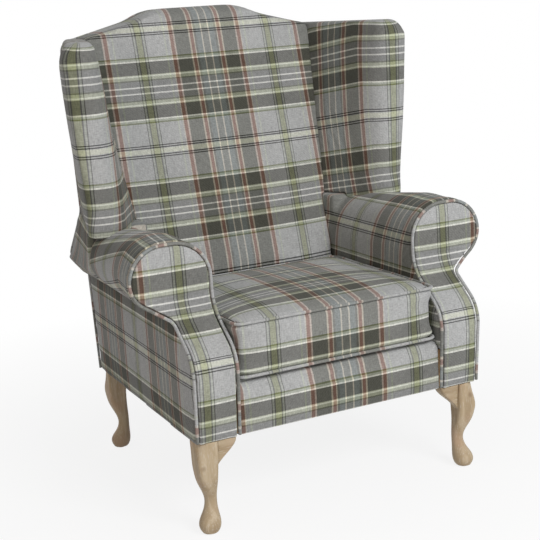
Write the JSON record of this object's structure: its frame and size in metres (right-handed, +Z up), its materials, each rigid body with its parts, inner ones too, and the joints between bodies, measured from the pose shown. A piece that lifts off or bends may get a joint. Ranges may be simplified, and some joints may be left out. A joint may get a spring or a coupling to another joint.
{
  "type": "fireside wing armchair",
  "caption": "Upholstered wing armchair with scroll arms, humped high back, loose box seat cushion, tartan cover and pale cabriole legs.",
  "frame": {"origin": "on the floor, at the centre of the chair's box seen from above", "axes": "+Z up, the sitter faces -Y, +X is the sitter's left"},
  "size_m": [0.87, 0.756, 1.08],
  "materials": {
    "tartan_fabric": "woven wool-look tartan, grey, green and rust on pale grey",
    "piping_fabric": "the same cloth over cord",
    "limed_wood": "pale limed hardwood, matt",
    "frame_timber": "planed softwood and ply",
    "spring_steel": "oiled spring wire",
    "zinc_steel": "zinc plated",
    "webbing": "elastic webbing",
    "lining_cloth": "black non-woven lining",
    "platform_cloth": "felt pad under plain platform cloth",
    "foam": "cushion foam in a stockinette",
    "zip_tape": "woven zip tape",
    "zip_metal": "dull metal",
    "glide_plastic": "brown nylon"
  },
  "bodies": {
    "chair": {"arm_facing_left": "tartan_fabric", "arm_facing_right": "tartan_fabric", "arm_front_block_left": "frame_timber", "arm_front_block_right": "frame_timber", "arm_front_board_left": "frame_timber", "arm_front_board_right": "frame_timber", "arm_lower_rail_left": "frame_timber", "arm_lower_rail_right": "frame_timber", "arm_pad_left": "tartan_fabric", "arm_pad_right": "tartan_fabric", "arm_top_board_left": "frame_timber", "arm_top_board_right": "frame_timber", "back_piping": "piping_fabric", "back_seat_rail": "frame_timber", "back_tacking_rail": "frame_timber", "back_top_rail": "frame_timber", "back_webbing": "webbing", "corner_blocks": "frame_timber", "dust_cover": "lining_cloth", "facing_piping_left": "piping_fabric", "facing_piping_right": "piping_fabric", "foot_glides": "glide_plastic", "front_border": "tartan_fabric", "front_corner_post_left": "frame_timber", "front_corner_post_right": "frame_timber", "front_seat_rail": "frame_timber", "inside_back_pad": "tartan_fabric", "leg_bolts": "zinc_steel", "leg_ear_left": "limed_wood", "leg_ear_right": "limed_wood", "leg_front_left": "limed_wood", "leg_front_right": "limed_wood", "leg_inserts": "zinc_steel", "leg_rear_left": "limed_wood", "leg_rear_right": "limed_wood", "outside_back_panel": "tartan_fabric", "rear_bottom_rail": "frame_timber", "rear_post_left": "frame_timber", "rear_post_right": "frame_timber", "seat_platform": "platform_cloth", "seat_springs": "spring_steel", "side_panel_left": "tartan_fabric", "side_panel_right": "tartan_fabric", "side_seat_rail_left": "frame_timber", "side_seat_rail_right": "frame_timber", "spring_clips": "spring_steel", "wing_pad_left": "tartan_fabric", "wing_pad_right": "tartan_fabric", "wing_top_rail_left": "frame_timber", "wing_top_rail_right": "frame_timber", "wing_upright_left": "frame_timber", "wing_upright_right": "frame_timber"},
    "seat_cushion": {"seat_cushion_cover": "tartan_fabric", "seat_cushion_core": "foam", "cushion_piping": "piping_fabric", "cushion_zip_tape": "zip_tape"},
    "zip_slider": {"zip_slider": "zip_metal"},
    "zip_pull": {"zip_pull": "zip_metal"}
  },
  "joints": [
    {"name": "cushion_lift", "type": "slide", "parent": "chair", "child": "seat_cushion", "axis": [0, 0, 1], "range_m": [0, 0.32]},
    {"name": "zip_run", "type": "slide", "parent": "seat_cushion", "child": "zip_slider", "axis": [-1, 0, 0], "range_m": [0, 0.379]},
    {"name": "pull_swing", "type": "hinge", "parent": "zip_slider", "child": "zip_pull", "pos_m": [0.1895, 0.079, 0.3865], "axis": [0, 0, -1], "range_deg": [0, 9]}
  ]
}
